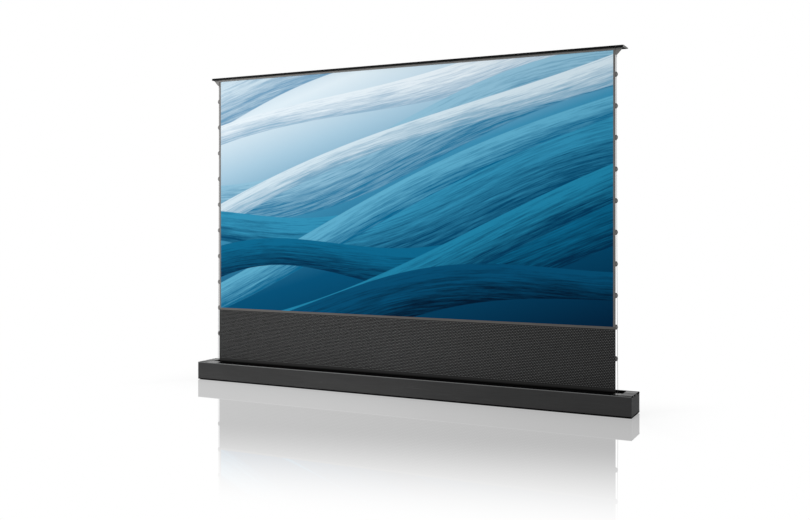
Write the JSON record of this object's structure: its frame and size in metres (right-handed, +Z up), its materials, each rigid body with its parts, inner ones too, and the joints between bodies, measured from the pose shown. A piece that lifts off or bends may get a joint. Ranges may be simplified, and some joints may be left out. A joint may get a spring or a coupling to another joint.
{
  "type": "floor-rising projection screen",
  "caption": "Wide cloth projection screen that rises from a long floor housing on folding arms, with tensioned side edges and a top bar that closes the housing.",
  "frame": {"origin": "on the floor, under the middle of the housing", "axes": "+X to the viewer's right along the width, +Y from front to back, +Z up"},
  "size_m": [2.9, 0.173, 1.988],
  "materials": {
    "black_aluminium": "satin black anodised extrusion",
    "black_plastic": "fine matt moulding",
    "grey_plastic": "matt grey moulding",
    "zinc_steel": "zinc plated",
    "bare_aluminium": "mill finish tube",
    "pin_steel": "turned bright steel",
    "cast_metal": "dark powder coated casting",
    "soft_rubber": "matt",
    "picture_cloth": "matt grained projection sheet with a plain blue pattern",
    "black_cloth": "perforated weave",
    "grey_tape": "welded edge tape with tabs",
    "cord_fibre": "dark braided fibre cord"
  },
  "bodies": {
    "housing": {"base_trough": "black_aluminium", "rear_panel": "black_aluminium", "front_cover": "black_aluminium", "left_end_top": "black_aluminium", "right_end_top": "black_aluminium", "left_end_cap": "black_plastic", "right_end_cap": "black_plastic", "foot_front_left": "soft_rubber", "foot_front_right": "soft_rubber", "foot_rear_left": "soft_rubber", "foot_rear_right": "soft_rubber", "left_roller_bracket": "zinc_steel", "right_roller_bracket": "zinc_steel", "roller_bearing": "pin_steel", "motor_body": "zinc_steel", "motor_head": "black_plastic", "control_box": "black_plastic", "power_inlet": "black_plastic", "left_base_bracket": "cast_metal", "left_base_pin": "pin_steel", "right_base_bracket": "cast_metal", "right_base_pin": "pin_steel", "viewing_surface": "picture_cloth", "black_drop": "black_cloth", "left_tension_tape": "grey_tape", "right_tension_tape": "grey_tape", "left_tension_cord": "cord_fibre", "right_tension_cord": "cord_fibre"},
    "roller": {"roller_tube": "bare_aluminium", "cloth_roll": "black_cloth", "idler_plug": "black_plastic", "drive_crown": "black_plastic", "limit_crown": "black_plastic"},
    "left_lower_arm": {"left_lower_base_eye": "cast_metal", "left_lower_tube": "black_aluminium", "left_lower_elbow_eye": "cast_metal", "left_arm_spring": "zinc_steel", "left_elbow_pin": "pin_steel"},
    "left_upper_arm": {"left_upper_elbow_eye": "cast_metal", "left_upper_tube": "black_aluminium", "left_upper_top_eye": "cast_metal"},
    "top_bar": {"top_lid": "black_aluminium", "clamp_rail": "grey_plastic", "left_lid_cap": "grey_plastic", "right_lid_cap": "grey_plastic", "left_gusset": "grey_plastic", "right_gusset": "grey_plastic", "left_top_bracket": "cast_metal", "left_top_pin": "pin_steel", "right_top_bracket": "cast_metal", "right_top_pin": "pin_steel"},
    "right_lower_arm": {"right_lower_base_eye": "cast_metal", "right_lower_tube": "black_aluminium", "right_lower_elbow_eye": "cast_metal", "right_arm_spring": "zinc_steel", "right_elbow_pin": "pin_steel"},
    "right_upper_arm": {"right_upper_elbow_eye": "cast_metal", "right_upper_tube": "black_aluminium", "right_upper_top_eye": "cast_metal"}
  },
  "joints": [
    {"name": "screen_lift", "type": "hinge", "parent": "housing", "child": "left_lower_arm", "pos_m": [-0.98497, 0.0187, 0.045], "axis": [0, 1, 0], "range_deg": [0, 84], "deforming": ["viewing_surface", "black_drop", "left_tension_tape", "right_tension_tape", "left_tension_cord", "right_tension_cord"]},
    {"name": "left_elbow", "type": "hinge", "parent": "left_lower_arm", "child": "left_upper_arm", "pos_m": [-0.88729, 0.0348, 0.97435], "axis": [0, 1, 0], "range_deg": [-168.5, 0]},
    {"name": "top_bar_level", "type": "hinge", "parent": "left_upper_arm", "child": "top_bar", "pos_m": [-0.98497, 0.0509, 1.9037], "axis": [0, 1, 0], "range_deg": [0, 84.5]},
    {"name": "right_shoulder", "type": "hinge", "parent": "housing", "child": "right_lower_arm", "pos_m": [0.98497, 0.0187, 0.045], "axis": [0, 1, 0], "range_deg": [-84.5, 0]},
    {"name": "right_elbow", "type": "hinge", "parent": "right_lower_arm", "child": "right_upper_arm", "pos_m": [0.88729, 0.0348, 0.97435], "axis": [0, 1, 0], "range_deg": [0, 168.5]},
    {"name": "roller_spin", "type": "hinge", "parent": "housing", "child": "roller", "pos_m": [0, -0.0381, 0.058], "axis": [1, 0, 0], "range_deg": [-3034, 0]}
  ],
  "couplings": [
    {"joint": "left_elbow", "follows": "screen_lift", "ratio": -2},
    {"joint": "top_bar_level", "follows": "screen_lift", "ratio": 1},
    {"joint": "right_shoulder", "follows": "screen_lift", "ratio": -1},
    {"joint": "right_elbow", "follows": "screen_lift", "ratio": 2},
    {"joint": "roller_spin", "follows": "screen_lift", "ratio": -36.1}
  ]
}
